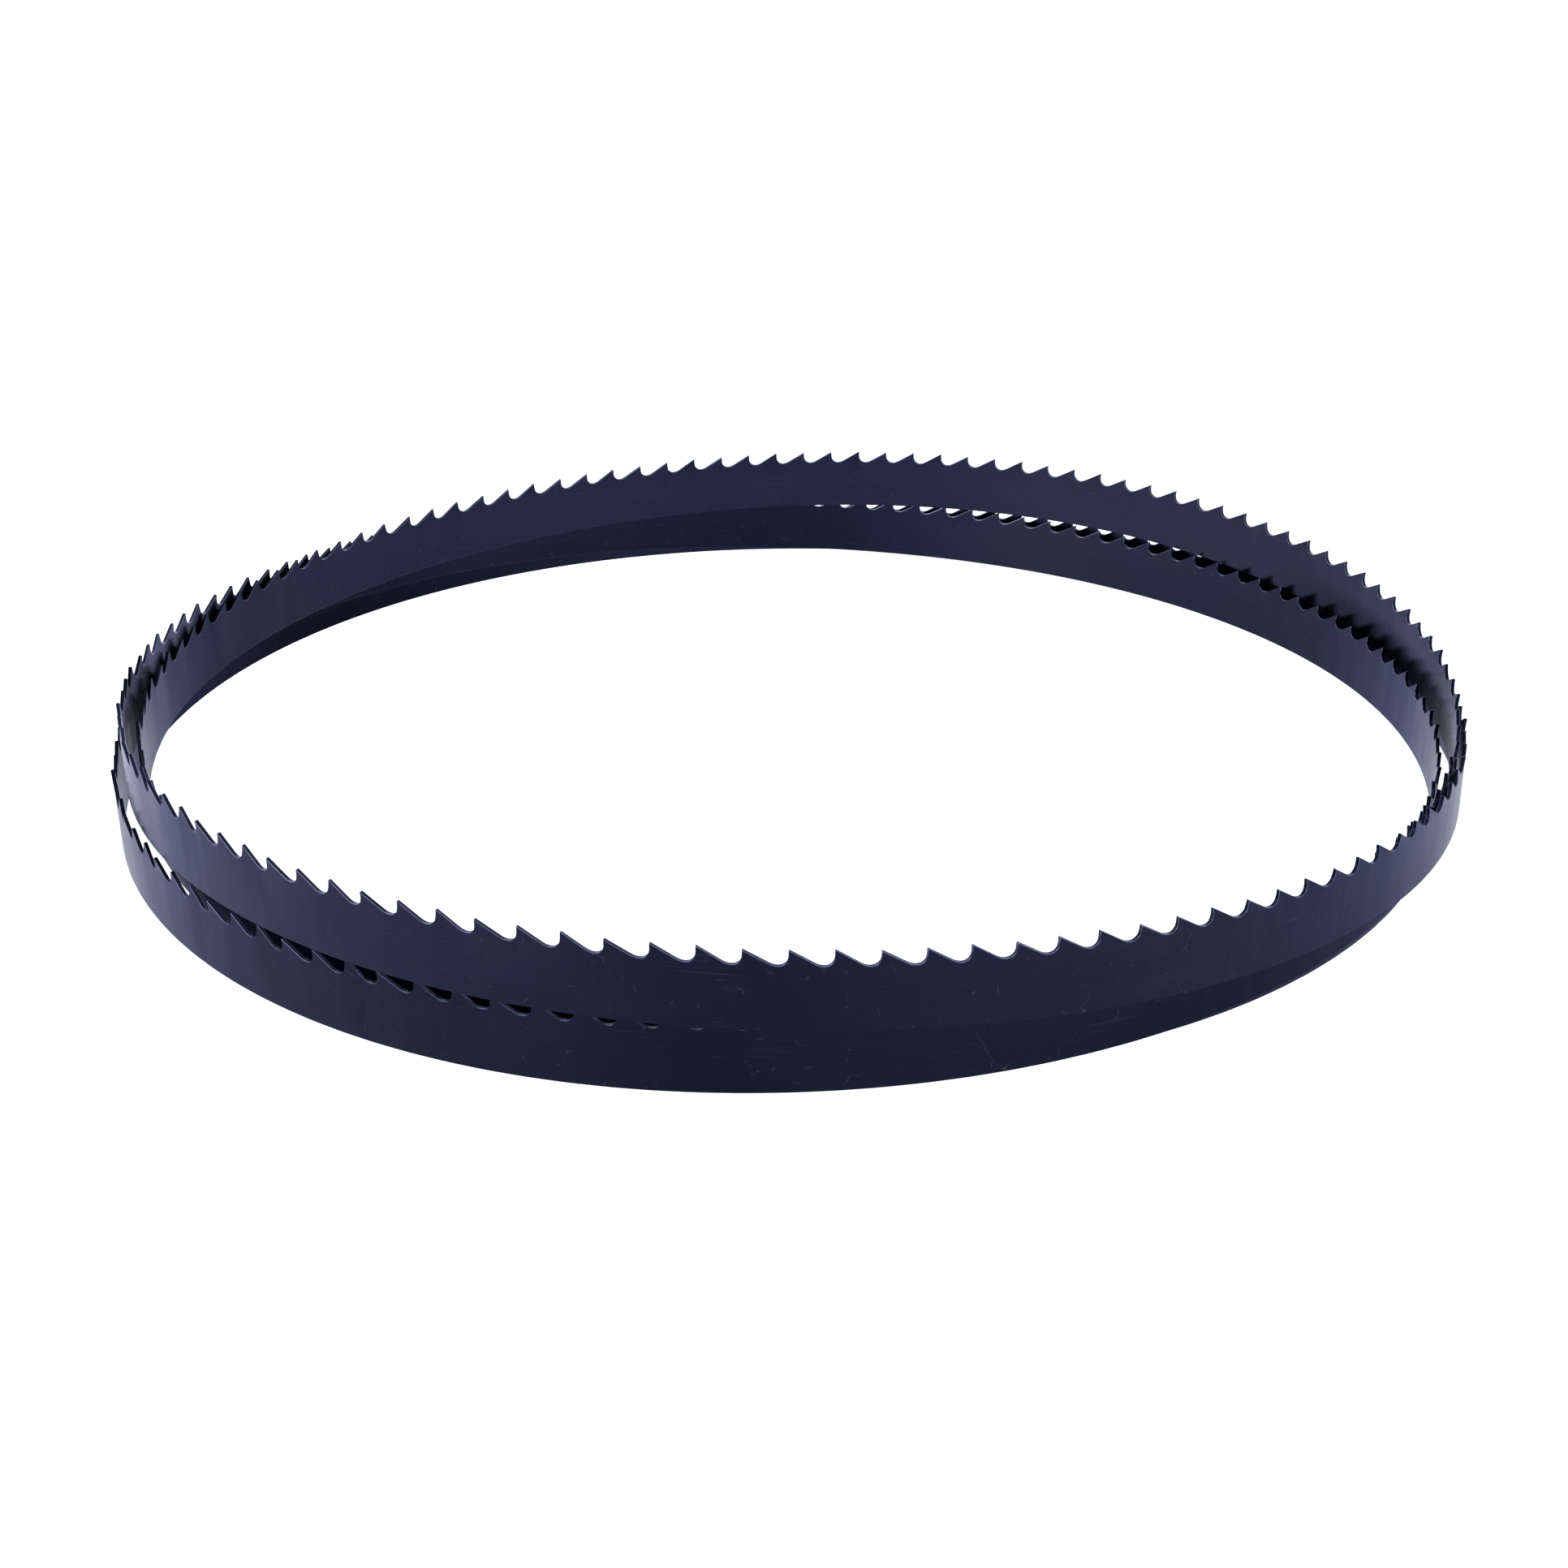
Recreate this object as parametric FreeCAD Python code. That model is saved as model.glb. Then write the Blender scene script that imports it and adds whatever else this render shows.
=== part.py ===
import FreeCAD, Part
import os
from math import asin, atan2, cos, hypot, pi, radians, sin

# An endless band saw blade, coiled in three turns. It lies on its back edges with the teeth up.
# Millimetres, +Z up. The origin is on the floor, under the middle of the coil's outline.
# The band is followed clockwise, seen from above, the way its teeth point. Travel is the angle
# gone round the coil: 0 at the left end (-X), 90 at the back (+Y), and 1080 where the band closes.

# The band
BAND_WIDTH = 12.7  # from the tooth tips to the back edge
BAND_THICKNESS = 0.65
TOOTH_PITCH = 6.35
TOOTH_COUNT = 353

# The teeth
GULLET_DEPTH = 2.45
THROAT_RADIUS = 1.35  # the round below the rake face
HEEL_RADIUS = 2.6  # the round that runs into the tooth's back
TOOTH_SET = 0.25  # how far a tip is bent out of the band
SET_ORDER = (1, -1, 0)  # outwards, inwards, straight
THROAT_STEPS = 3
HEEL_STEPS = 2

# The lay of the coil. The passes cross twice, and there the upper one rides on the lower one's teeth.
TURNS = 3
FIRST_TIP = 3.05  # along the back edge, from travel 0 to the first tip
SIDE_GAP = 0.1  # air between the sets of two passes that lie side by side
LENGTH_STEPS = 12  # steps per tooth when the band's length is measured

# The radius and the height of the back edge swing in waves. Each wave is given by its number of
# crests in the three turns, its size, and the travel of its first crest in degrees.
# The radius swings in spacings between passes, and the height in band widths.
RADIUS_WAVES = ((1, 2.25, 475), (2, 0.27, 287), (4, 0.27, 131), (5, 0.53, 188), (6, 0.63, 12),
                (7, 0.27, 20), (8, 0.28, 132), (10, 0.14, 20))
HEIGHT_WAVES = ((1, 0.058, 965), (2, 0.5, 112), (3, 0.075, 358), (4, 0.148, 125), (5, 0.008, 0),
                (6, 0.02, 138), (7, 0.015, 119), (8, 0.014, 104))


def swing(waves, travel):
    """Sum of the waves at one travel, given in radians."""
    total = 0.0
    for crests, size, first_crest in waves:
        total += size * cos(crests * (travel - radians(first_crest)) / TURNS)
    return total


def back_edge(travel, mean_radius):
    """The middle of the back edge, before the coil is set down on the floor."""
    spacing = BAND_THICKNESS + 2 * TOOTH_SET + SIDE_GAP
    radius = mean_radius + spacing * swing(RADIUS_WAVES, travel)
    height = BAND_WIDTH * swing(HEIGHT_WAVES, travel)
    return FreeCAD.Vector(-radius * cos(travel), radius * sin(travel), height)


def measured_edge(mean_radius):
    """Fine points along the back edge and the length gone at each of them."""
    count = TOOTH_COUNT * LENGTH_STEPS
    points = []
    lengths = [0.0]
    for step in range(count + 1):
        points.append(back_edge(2 * pi * TURNS * step / count, mean_radius))
        if step:
            lengths.append(lengths[-1] + (points[step] - points[step - 1]).Length)
    return points, lengths


def coil_radius():
    """The mean radius at which the band's length is a whole number of teeth."""
    length = TOOTH_COUNT * TOOTH_PITCH
    radius = length / (2 * pi * TURNS)
    for _ in range(4):
        radius += (length - measured_edge(radius)[1][-1]) / (2 * pi * TURNS)
    return radius


def gullet_edges():
    """Back edge points below each gullet, one pitch apart, with the lowest on the floor."""
    points, lengths = measured_edge(coil_radius())
    total = lengths[-1]
    targets = sorted((FIRST_TIP + THROAT_RADIUS + TOOTH_PITCH * tooth) % total for tooth in range(TOOTH_COUNT))
    edges = []
    step = 1
    for target in targets:
        while lengths[step] < target:
            step += 1
        share = (target - lengths[step - 1]) / (lengths[step] - lengths[step - 1])
        edges.append(points[step - 1] + (points[step] - points[step - 1]) * share)
    floor = min(point.z for point in edges)
    middle_x = (min(point.x for point in edges) + max(point.x for point in edges)) / 2
    middle_y = (min(point.y for point in edges) + max(point.y for point in edges)) / 2
    return [point - FreeCAD.Vector(middle_x, middle_y, floor) for point in edges]


def outward(start, end):
    """The level direction that points out of the coil, square to a run of the band."""
    along = FreeCAD.Vector(end.x - start.x, end.y - start.y, 0).normalize()
    return FreeCAD.Vector(-along.y, along.x, 0)


class Station:
    """One gullet bottom: the back edge below it, the gullet, and the step out to the band's face."""

    def __init__(self, before, edge, after):
        rise = after - before
        slope = rise.z / hypot(rise.x, rise.y)
        start, end = outward(before, edge), outward(edge, after)
        middle = (start + end).normalize()
        self.edge = edge
        self.gullet = edge + FreeCAD.Vector(0, 0, (BAND_WIDTH - GULLET_DEPTH) * hypot(1, slope))
        self.mitre = middle * (BAND_THICKNESS / 2 / middle.dot(end))


def gullet_stations():
    edges = gullet_edges()
    stations = []
    for index, edge in enumerate(edges):
        stations.append(Station(edges[index - 1], edge, edges[(index + 1) % len(edges)]))
    return stations


def tooth_outline(span):
    """Points of a tooth between two gullet bottoms, as (along, above the gullet line)."""
    tip = span - THROAT_RADIUS
    reach = hypot(tip, HEEL_RADIUS - GULLET_DEPTH)
    heel_turn = asin(HEEL_RADIUS / reach) - atan2(HEEL_RADIUS - GULLET_DEPTH, tip)
    outline = []
    for step in range(1, HEEL_STEPS + 1):
        turn = heel_turn * step / HEEL_STEPS
        outline.append((HEEL_RADIUS * sin(turn), HEEL_RADIUS * (1 - cos(turn))))
    outline.append((tip, GULLET_DEPTH))
    for step in range(THROAT_STEPS):
        turn = pi / 2 * (1 - step / THROAT_STEPS)
        outline.append((span - THROAT_RADIUS * sin(turn), THROAT_RADIUS * (1 - cos(turn))))
    return outline


def flat_face(points):
    return Part.Face(Part.makePolygon(points + points[:1]))


def strip_faces(near, far):
    """Faces that join two lines of points. A piece with two turned ends is split in two."""
    faces = []
    last = len(near) - 2
    for index in range(last + 1):
        corners = [near[index], near[index + 1], far[index + 1], far[index]]
        if 0 < index < last:
            faces.append(flat_face(corners))
        else:
            faces.append(flat_face([corners[0], corners[1], corners[2]]))
            faces.append(flat_face([corners[0], corners[2], corners[3]]))
    return faces


def tooth_side(outline, side, tooth_set):
    """A tooth's outline as (along, above, out), bent over the line from its first point to its last."""
    first, last = outline[0], outline[-1]
    slope = (last[1] - first[1]) / (last[0] - first[0])
    heights = [above - first[1] - slope * (along - first[0]) for along, above in outline]
    points = []
    for (along, above), height in zip(outline, heights):
        points.append((along, above, BAND_THICKNESS / 2 * side + tooth_set * height / max(heights)))
    return points


def tooth_cell(start, end, tooth_set):
    """The faces of one pitch of the band, between the stations below two gullet bottoms."""
    run = end.gullet - start.gullet
    along = FreeCAD.Vector(run).normalize()
    out = outward(start.gullet, end.gullet)
    up = along.cross(out)
    outline = tooth_outline(run.Length)
    sides = []
    for side in (1, -1):
        tooth = []
        for distance, above, aside in tooth_side(outline, side, tooth_set):
            tooth.append(start.gullet + along * distance + up * above + out * aside)
        bottom = [start.edge + start.mitre * side, end.edge + end.mitre * side]
        top = [start.gullet + start.mitre * side] + tooth + [end.gullet + end.mitre * side]
        sides.append((bottom, top))
    faces = []
    for bottom, top in sides:
        faces.append(flat_face(bottom + [top[-1], top[-2], top[1], top[0]]))
        faces.append(flat_face(top[1:-1]))
    faces += strip_faces(sides[0][1], sides[1][1])
    faces += strip_faces(sides[0][0], sides[1][0])
    return faces


def saw_band():
    stations = gullet_stations()
    faces = []
    for tooth in range(TOOTH_COUNT):
        tooth_set = TOOTH_SET * SET_ORDER[tooth % len(SET_ORDER)]
        faces += tooth_cell(stations[tooth], stations[(tooth + 1) % TOOTH_COUNT], tooth_set)
    shell = Part.makeShell(faces)
    shell.sewShape()
    return Part.makeSolid(shell)


def main():
    os.makedirs("parts", exist_ok=True)
    band = saw_band()
    band.exportStep("parts/saw_band.step")


main()
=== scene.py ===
"""A band saw blade, coiled in three turns and lying on its back edges.

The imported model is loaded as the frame. The toothed band is modelled anew as one smooth piece that
stands for the CAD node: a single tooth is modelled flat, copied, set, repeated along the whole loop,
bent round the coil and given its thickness.
"""

import logging
from dataclasses import dataclass, field
from enum import Enum
from math import asin, atan2, cos, hypot, pi, radians, sin
from typing import Callable

import bpy
from mathutils import Matrix, Vector


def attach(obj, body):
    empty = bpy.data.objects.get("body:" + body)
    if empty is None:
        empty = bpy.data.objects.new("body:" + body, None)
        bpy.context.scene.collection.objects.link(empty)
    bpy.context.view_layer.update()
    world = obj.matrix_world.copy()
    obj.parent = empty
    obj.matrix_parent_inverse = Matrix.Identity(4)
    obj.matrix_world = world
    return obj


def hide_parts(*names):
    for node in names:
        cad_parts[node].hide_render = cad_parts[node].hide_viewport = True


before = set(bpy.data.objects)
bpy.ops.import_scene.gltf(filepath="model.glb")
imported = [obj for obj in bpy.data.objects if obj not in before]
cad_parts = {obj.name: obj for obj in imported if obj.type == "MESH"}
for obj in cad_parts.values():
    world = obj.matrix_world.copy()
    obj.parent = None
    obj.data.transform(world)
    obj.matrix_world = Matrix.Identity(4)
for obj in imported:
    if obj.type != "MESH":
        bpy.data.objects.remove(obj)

LOG = logging.getLogger("saw_blade")
MM = 0.001
NEAR = 0.01  # millimetres: places closer than this count as the same
Socket = bpy.types.NodeSocket
Point = tuple[float, float, float]
Colour = tuple[float, float, float, float]


class Lean(Enum):
    """Which way a tooth is set, as a share of the full set."""

    OUTWARDS = 1
    INWARDS = -1
    STRAIGHT = 0


class Side(Enum):
    """The sides of the band that have a finish of their own, by their slot in the mesh."""

    OUTSIDE = 0
    CUT = 1
    RIM = 2
    INSIDE = 3


@dataclass(frozen=True)
class Tooth:
    """The shape of one tooth, in millimetres, from one gullet bottom to the next."""

    pitch: float = 6.35
    width: float = 12.7
    depth: float = 2.45
    throat: float = 1.35
    heel: float = 2.6
    set: float = 0.25
    heel_steps: int = 3
    throat_steps: int = 4

    @property
    def gullet(self) -> float:
        """Height of the gullet bottom over the back edge."""
        return self.width - self.depth

    @property
    def tip(self) -> float:
        """Distance from the gullet bottom to the tip."""
        return self.pitch - self.throat

    def columns(self) -> list[tuple[float, float]]:
        """Works out the points of the outline below the rake face.

        Returns:
            (along, height over the gullet) from one gullet bottom to the next, with the foot of the
            rake face in place of the tip.
        """
        reach = hypot(self.tip, self.heel - self.depth)
        turn = asin(self.heel / reach) - atan2(self.heel - self.depth, self.tip)
        points = []
        for step in range(self.heel_steps + 1):
            angle = turn * step / self.heel_steps
            points.append((self.heel * sin(angle), self.heel * (1 - cos(angle))))
        for step in range(self.throat_steps + 1):
            angle = pi / 2 * (1 - step / self.throat_steps)
            points.append((self.pitch - self.throat * sin(angle), self.throat * (1 - cos(angle))))
        return points


@dataclass(frozen=True)
class Wave:
    """One wave of the coil: crests in the three turns, size, and travel of the first crest."""

    crests: int
    size: float
    first: float


@dataclass(frozen=True)
class Lay:
    """The line of the band's back edge, in millimetres."""

    teeth: int = 353
    turns: int = 3
    spacing: float = 1.25
    first_tip: float = 3.05
    points_per_tooth: int = 4
    measures_per_tooth: int = 12
    rounds: int = 4
    radius_waves: tuple[Wave, ...] = (
        Wave(1, 2.25, 475), Wave(2, 0.27, 287), Wave(4, 0.27, 131), Wave(5, 0.53, 188),
        Wave(6, 0.63, 12), Wave(7, 0.27, 20), Wave(8, 0.28, 132), Wave(10, 0.14, 20),
    )
    height_waves: tuple[Wave, ...] = (
        Wave(1, 0.058, 965), Wave(2, 0.5, 112), Wave(3, 0.075, 358), Wave(4, 0.148, 125),
        Wave(5, 0.008, 0), Wave(6, 0.02, 138), Wave(7, 0.015, 119), Wave(8, 0.014, 104),
    )

    def swing(self, waves: tuple[Wave, ...], travel: float) -> float:
        """Adds up waves.

        Args:
            waves: The waves to add.
            travel: Angle gone round the coil, in radians.

        Returns:
            The sum at that travel.
        """
        total = 0.0
        for wave in waves:
            total += wave.size * cos(wave.crests * (travel - radians(wave.first)) / self.turns)
        return total

    def edge(self, travel: float, radius: float, width: float) -> Vector:
        """Finds a point of the back edge.

        Args:
            travel: Angle gone round the coil, in radians, clockwise from the left end.
            radius: Mean radius of the coil.
            width: Width of the band.

        Returns:
            The point, before the coil is set down.
        """
        reach = radius + self.spacing * self.swing(self.radius_waves, travel)
        height = width * self.swing(self.height_waves, travel)
        return Vector((-reach * cos(travel), reach * sin(travel), height))

    def measure(self, radius: float, width: float) -> tuple[list[Vector], list[float]]:
        """Measures the loop at one mean radius.

        Args:
            radius: Mean radius of the coil.
            width: Width of the band.

        Returns:
            Fine points along the loop, and the length gone at each.
        """
        count = self.teeth * self.measures_per_tooth
        whole = 2 * pi * self.turns
        points = [self.edge(whole * step / count, radius, width) for step in range(count + 1)]
        lengths = [0.0]
        for before, after in zip(points, points[1:]):
            lengths.append(lengths[-1] + (after - before).length)
        return points, lengths

    def line(self, tooth: Tooth) -> list[Vector]:
        """Lays the back edge out on the floor.

        Args:
            tooth: The tooth, for the band's length and width.

        Returns:
            Points at even distances along the closed loop, from a point below a gullet.
        """
        length = self.teeth * tooth.pitch
        radius = length / (2 * pi * self.turns)
        for _ in range(self.rounds):
            radius += (length - self.measure(radius, tooth.width)[1][-1]) / (2 * pi * self.turns)
        points, lengths = self.measure(radius, tooth.width)
        start = self.first_tip + tooth.throat
        line: list[Vector] = []
        step = 1
        for index in range(self.teeth * self.points_per_tooth):
            target = start + tooth.pitch * index / self.points_per_tooth
            if target >= lengths[-1]:
                target -= lengths[-1]
                step = 1 if lengths[step - 1] > target else step
            while lengths[step] < target:
                step += 1
            share = (target - lengths[step - 1]) / (lengths[step] - lengths[step - 1])
            line.append(points[step - 1].lerp(points[step], share))
        gullets = line[:: self.points_per_tooth]
        low = Vector(min(point[axis] for point in gullets) for axis in range(3))
        high = Vector(max(point[axis] for point in gullets) for axis in range(3))
        middle = Vector(((low.x + high.x) / 2, (low.y + high.y) / 2, min(point.z for point in line)))
        return [(point - middle) * MM for point in line]

    def climbs(self, line: list[Vector]) -> list[float]:
        """Measures how steeply the band climbs.

        Args:
            line: The points of the back edge.

        Returns:
            Rise over run below each gullet, and the first one again at the end.
        """
        reach = self.points_per_tooth
        steps = []
        for index in range(0, len(line), reach):
            rise = line[(index + reach) % len(line)] - line[index - reach]
            steps.append(rise.z / hypot(rise.x, rise.y))
        return steps + steps[:1]


class Bench:
    """The hand tools: selecting, pulling, copying and finishing meshes."""

    @staticmethod
    def pick(piece: bpy.types.Object) -> None:
        """Makes one object the only selected and active one."""
        bpy.ops.object.select_all(action="DESELECT")
        piece.select_set(True)
        bpy.context.view_layer.objects.active = piece

    @staticmethod
    def mark(piece: bpy.types.Object, test: Callable[[Vector], bool], kind: str = "VERT") -> None:
        """Selects parts of a mesh that is in edit mode.

        Args:
            piece: The object.
            test: Says of a point, in millimetres, whether it is wanted.
            kind: VERT, or EDGE to select the edges whose ends both pass.
        """
        bpy.ops.mesh.select_mode(type="VERT")
        bpy.ops.mesh.select_all(action="DESELECT")
        bpy.ops.object.mode_set(mode="OBJECT")
        for vertex in piece.data.vertices:
            vertex.select = test(vertex.co / MM)
        bpy.ops.object.mode_set(mode="EDIT")
        if kind == "EDGE":
            bpy.ops.mesh.select_mode(type="EDGE")

    @staticmethod
    def pull(piece: bpy.types.Object, test: Callable[[Vector], bool], by: Point) -> None:
        """Moves some points of a mesh that is in edit mode.

        Args:
            piece: The object.
            test: Says of a point, in millimetres, whether it moves.
            by: How far, in millimetres.
        """
        Bench.mark(piece, test)
        bpy.ops.transform.translate(value=Vector(by) * MM)

    @staticmethod
    def raise_edges(by: float) -> None:
        """Extrudes the selected edges upwards, by a distance in millimetres."""
        bpy.ops.mesh.extrude_edges_move(TRANSFORM_OT_translate={"value": (0, 0, by * MM)})

    @staticmethod
    def copy(piece: bpy.types.Object, by: Point) -> bpy.types.Object:
        """Copies an object with a mesh of its own.

        Args:
            piece: The object.
            by: How far the copy's mesh is moved, in millimetres.

        Returns:
            The copy.
        """
        Bench.pick(piece)
        bpy.ops.object.duplicate(linked=False)
        copy = bpy.context.view_layer.objects.active
        bpy.ops.object.mode_set(mode="EDIT")
        bpy.ops.mesh.select_all(action="SELECT")
        bpy.ops.transform.translate(value=Vector(by) * MM)
        bpy.ops.object.mode_set(mode="OBJECT")
        return copy

    @staticmethod
    def apply(piece: bpy.types.Object, kind: str, **values: object) -> None:
        """Adds a modifier with its values and applies it.

        Args:
            piece: The object.
            kind: The modifier's type.
            values: The modifier's settings.
        """
        Bench.pick(piece)
        modifier = piece.modifiers.new(kind.lower(), kind)
        for name, value in values.items():
            setattr(modifier, name, value)
        bpy.ops.object.modifier_apply(modifier=modifier.name)


class Wiring:
    """Small helpers that wire a material's nodes."""

    def __init__(self, tree: bpy.types.NodeTree) -> None:
        """Starts with an empty tree."""
        self.tree = tree
        tree.nodes.clear()

    def add(self, kind: str, **values: object) -> bpy.types.Node:
        """Adds a node.

        Args:
            kind: The node's type.
            values: Properties of the node.

        Returns:
            The node.
        """
        node = self.tree.nodes.new(kind)
        for name, value in values.items():
            setattr(node, name, value)
        return node

    def feed(self, socket: Socket, value: object) -> None:
        """Sets a socket to a number or colour, or links it to another socket."""
        if isinstance(value, Socket):
            self.tree.links.new(value, socket)
        else:
            socket.default_value = value

    def math(self, operation: str, *values: object, clamp: bool = False) -> Socket:
        """Adds a Math node and returns its output."""
        node = self.add("ShaderNodeMath", operation=operation, use_clamp=clamp)
        for socket, value in zip(node.inputs, values):
            self.feed(socket, value)
        return node.outputs[0]

    def blend(self, factor: object, first: object, second: object, way: str = "MIX") -> Socket:
        """Mixes two colours and returns the result."""
        node = self.add("ShaderNodeMix", data_type="RGBA", blend_type=way)
        self.feed(node.inputs[0], factor)
        self.feed(node.inputs[6], first)
        self.feed(node.inputs[7], second)
        return node.outputs[2]

    def spread(self, value: object, low: float, high: float, to_low: float = 0.0,
               to_high: float = 1.0) -> Socket:
        """Maps a range of values onto another and returns the result."""
        node = self.add("ShaderNodeMapRange")
        self.feed(node.inputs[0], value)
        for socket, number in zip(node.inputs[1:5], (low, high, to_low, to_high)):
            socket.default_value = number
        return node.outputs[0]

    def noise(self, vector: object, scale: float, detail: float = 3.0,
              roughness: float = 0.5) -> Socket:
        """Adds a Noise node and returns its value."""
        node = self.add("ShaderNodeTexNoise")
        self.feed(node.inputs["Vector"], vector)
        node.inputs["Scale"].default_value = scale
        node.inputs["Detail"].default_value = detail
        node.inputs["Roughness"].default_value = roughness
        return node.outputs[0]

    def around_zero(self, value: object, low: float = 0.3, high: float = 0.7) -> Socket:
        """Maps a noise value onto -1 to 1 and returns the result."""
        return self.spread(value, low, high, -1, 1)

    def seen(self) -> Socket:
        """Returns 1 for rays from the camera, also after a reflection or through glass."""
        rays = self.add("ShaderNodeLightPath").outputs
        mirrored = self.math("MAXIMUM", rays["Is Glossy Ray"], rays["Is Transmission Ray"])
        return self.math("MAXIMUM", rays["Is Camera Ray"], mirrored)

    def cells(self, vector: object, spacing: float) -> tuple[bpy.types.Node, bpy.types.Node]:
        """Adds a Voronoi node over the band, and splits its colour into three chances.

        Args:
            vector: The coordinates.
            spacing: Mean distance between two cells.

        Returns:
            The Voronoi node, and the node whose three outputs are the chances.
        """
        cells = self.add("ShaderNodeTexVoronoi", voronoi_dimensions="2D", feature="F1")
        self.feed(cells.inputs["Vector"], vector)
        cells.inputs["Scale"].default_value = 1 / spacing
        chance = self.add("ShaderNodeSeparateColor")
        self.feed(chance.inputs[0], cells.outputs["Color"])
        return cells, chance

    def stretch(self, vector: object, scale: Point, turn: float = 0.0,
                shift: Point = (0, 0, 0)) -> Socket:
        """Adds a Mapping node and returns its vector."""
        node = self.add("ShaderNodeMapping")
        self.feed(node.inputs["Vector"], vector)
        node.inputs["Location"].default_value = shift
        node.inputs["Rotation"].default_value = (0, 0, turn)
        node.inputs["Scale"].default_value = scale
        return node.outputs[0]


class Effect:
    """A node group that is built once and placed in each finish that uses it.

    Every effect reads the band's own coordinates in millimetres: along the band, and up from the
    back edge.
    """

    name: str = ""
    outputs: tuple[str, ...] = ()

    def group(self) -> bpy.types.NodeTree:
        """Finds the group, or builds it the first time.

        Returns:
            The node group.
        """
        if self.name in bpy.data.node_groups:
            return bpy.data.node_groups[self.name]
        tree = bpy.data.node_groups.new(self.name, "ShaderNodeTree")
        tree.interface.new_socket("Band", in_out="INPUT", socket_type="NodeSocketVector")
        tree.interface.new_socket("Amount", in_out="INPUT", socket_type="NodeSocketFloat")
        for output in self.outputs:
            tree.interface.new_socket(output, in_out="OUTPUT", socket_type="NodeSocketFloat")
        wiring = Wiring(tree)
        given = wiring.add("NodeGroupInput")
        made = wiring.add("NodeGroupOutput")
        results = self.draw(wiring, given.outputs["Band"])
        for output, result in zip(self.outputs, results):
            wiring.feed(made.inputs[output], wiring.math("MULTIPLY", result, given.outputs["Amount"]))
        return tree

    def draw(self, wiring: Wiring, band: Socket) -> tuple[Socket, ...]:
        """Draws the effect at full strength; each kind of effect does this its own way."""
        raise NotImplementedError

    def place(self, wiring: Wiring, band: Socket, amount: float) -> list[Socket]:
        """Places the effect in a material.

        Args:
            wiring: The material's wiring.
            band: The band's own coordinates.
            amount: How strong the effect is.

        Returns:
            The effect's outputs.
        """
        node = wiring.add("ShaderNodeGroup", node_tree=self.group())
        wiring.feed(node.inputs["Band"], band)
        node.inputs["Amount"].default_value = amount
        return list(node.outputs)


class Grain(Effect):
    """The oxide skin: fine pits, faint rolling lines, and broad cloudy patches, all round zero."""

    name = "oxide_grain"
    outputs = ("Pits", "Lines", "Clouds")
    pit_scale: float = 4.2
    rolled: Point = (0.12, 5.5, 1)
    cloudy: Point = (0.03, 0.13, 1)

    def draw(self, wiring: Wiring, band: Socket) -> tuple[Socket, ...]:
        """Draws the pits, lines and clouds."""
        pits = wiring.around_zero(wiring.noise(band, self.pit_scale, 2.0, 0.6))
        lines = wiring.around_zero(wiring.noise(wiring.stretch(band, self.rolled), 1.0, 3.0, 0.6))
        clouds = wiring.noise(wiring.stretch(band, self.cloudy), 1.0, 3.0, 0.5)
        return pits, lines, wiring.around_zero(clouds, 0.32, 0.68)


@dataclass(frozen=True)
class Stroke:
    """A kind of scratch, in millimetres.

    Spacing is the mean distance between two strokes, length half the length of the longest, width
    half their width, curl how far they wander from their line, share how many of the places have
    one, and seed moves the whole scatter.
    """

    spacing: float
    length: float
    width: float
    curl: float
    share: float
    seed: float


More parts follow.
